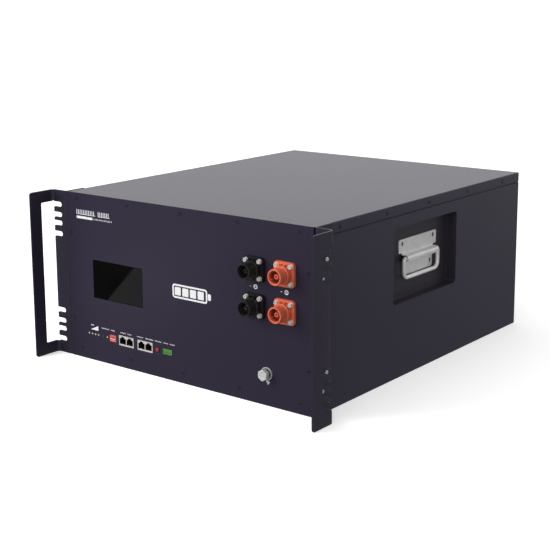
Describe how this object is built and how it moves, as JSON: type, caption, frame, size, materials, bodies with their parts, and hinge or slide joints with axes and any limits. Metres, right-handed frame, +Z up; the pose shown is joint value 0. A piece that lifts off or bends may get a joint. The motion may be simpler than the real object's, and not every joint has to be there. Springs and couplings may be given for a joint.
{
  "type": "server rack battery",
  "caption": "Rack-mounted battery module: dark sheet-steel case with slotted ear handles, display, round power sockets and folding side handles.",
  "frame": {"origin": "middle of the overall box, on the plane that the tray stands on", "axes": "+X to the right seen from the front, +Y from the front panel to the back, +Z up"},
  "size_m": [0.4826, 0.563, 0.2345],
  "materials": {
    "case_paint": "fine textured powder coat, dark violet grey",
    "panel_paint": "fine textured powder coat, dark violet grey",
    "bracket_paint": "fine textured powder coat, dark violet grey",
    "pocket_paint": "matt black powder coat",
    "zinc": "satin bright zinc plate",
    "display_glass": "gloss black window",
    "module_plastic": "matt black",
    "orange_plastic": "satin orange moulding",
    "black_plastic": "satin black moulding",
    "contact_silver": "silver plated copper",
    "port_shell": "tinned steel shell",
    "switch_red": "satin red",
    "button_red": "satin red",
    "lever_white": "satin white",
    "signal_green": "satin green",
    "light_pipe": "clear light pipe",
    "board_green": "solder mask",
    "heatsink_metal": "mill finish extrusion",
    "copper": "bare copper bar",
    "end_plate_metal": "mill finish plate",
    "cell_film": "aluminium can in blue insulating film"
  },
  "bodies": {
    "case": {"chassis_tray": "case_paint", "top_cover": "case_paint", "rear_panel": "case_paint", "front_panel": "panel_paint", "left_ear_bracket": "bracket_paint", "right_ear_bracket": "bracket_paint", "left_handle_pocket": "pocket_paint", "right_handle_pocket": "pocket_paint", "left_handle_plate": "zinc", "right_handle_plate": "zinc", "display_window": "display_glass", "display_module": "module_plastic", "positive_socket_upper": "orange_plastic", "positive_socket_lower": "orange_plastic", "negative_socket_upper": "black_plastic", "negative_socket_lower": "black_plastic", "positive_contact_upper": "contact_silver", "positive_contact_lower": "contact_silver", "negative_contact_upper": "contact_silver", "negative_contact_lower": "contact_silver", "data_port_left": "port_shell", "data_port_right": "port_shell", "code_switch_body": "switch_red", "reset_switch": "module_plastic", "signal_terminal_block": "signal_green", "status_light_bar": "light_pipe", "interface_board": "board_green", "management_board": "board_green", "heatsink": "heatsink_metal", "positive_busbar": "copper", "negative_busbar": "copper", "earth_bolt": "zinc", "earth_washer": "zinc", "front_end_plate": "end_plate_metal", "rear_end_plate": "end_plate_metal", "cell_contact_board": "board_green", "cell_01": "cell_film", "cell_02": "cell_film", "cell_03": "cell_film", "cell_04": "cell_film", "cell_05": "cell_film", "cell_06": "cell_film", "cell_07": "cell_film", "cell_08": "cell_film", "cell_09": "cell_film", "cell_10": "cell_film", "cell_11": "cell_film", "cell_12": "cell_film", "cell_13": "cell_film", "cell_14": "cell_film", "cell_15": "cell_film", "cell_16": "cell_film"},
    "right_bail": {"right_bail": "zinc"},
    "left_bail": {"left_bail": "zinc"},
    "reset_button": {"reset_button": "button_red"},
    "code_lever_1": {"code_lever_1": "lever_white"},
    "code_lever_2": {"code_lever_2": "lever_white"},
    "code_lever_3": {"code_lever_3": "lever_white"},
    "code_lever_4": {"code_lever_4": "lever_white"}
  },
  "joints": [
    {"name": "right_bail_hinge", "type": "hinge", "parent": "case", "child": "right_bail", "pos_m": [0.204, 0.0158, 0.1557], "axis": [0, -1, 0], "range_deg": [0, 90]},
    {"name": "left_bail_hinge", "type": "hinge", "parent": "case", "child": "left_bail", "pos_m": [-0.204, 0.0158, 0.1557], "axis": [0, 1, 0], "range_deg": [0, 90]},
    {"name": "reset_press", "type": "slide", "parent": "case", "child": "reset_button", "axis": [0, 1, 0], "range_m": [0, 0.0015], "stiffness_N_per_m": 300, "springref_m": -0.0005},
    {"name": "code_lever_1_slide", "type": "slide", "parent": "case", "child": "code_lever_1", "axis": [0, 0, 1], "range_m": [0, 0.0016]},
    {"name": "code_lever_2_slide", "type": "slide", "parent": "case", "child": "code_lever_2", "axis": [0, 0, 1], "range_m": [0, 0.0016]},
    {"name": "code_lever_3_slide", "type": "slide", "parent": "case", "child": "code_lever_3", "axis": [0, 0, 1], "range_m": [0, 0.0016]},
    {"name": "code_lever_4_slide", "type": "slide", "parent": "case", "child": "code_lever_4", "axis": [0, 0, 1], "range_m": [0, 0.0016]}
  ]
}
